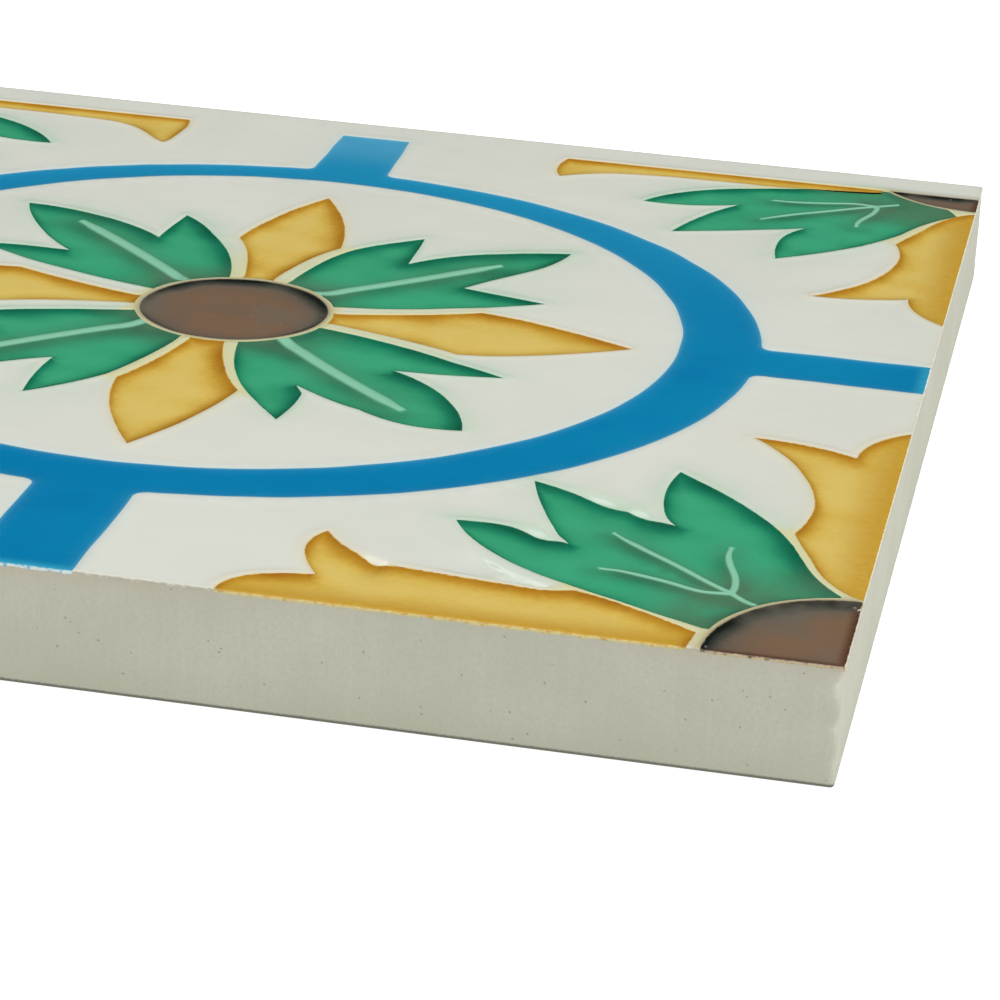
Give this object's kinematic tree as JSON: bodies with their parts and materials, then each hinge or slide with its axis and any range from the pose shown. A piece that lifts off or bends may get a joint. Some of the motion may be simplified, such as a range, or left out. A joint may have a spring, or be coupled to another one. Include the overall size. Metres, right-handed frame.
{
  "type": "ceramic tile",
  "caption": "Square glazed wall tile with a moulded rosette in a ring with arms and quarter flowers in the corners.",
  "frame": {"origin": "middle of the plain back, which is the face the tile rests on", "axes": "+Z out of the glazed face; +Y towards the edge with the plain margin; +X to the right of that, seen from the glazed face"},
  "size_m": [0.14, 0.14, 0.011],
  "materials": {
    "tile": "gloss glaze on the face, bare fired clay on the sides and back"
  },
  "bodies": {
    "root": {"ceramic_tile": "tile"}
  },
  "joints": []
}
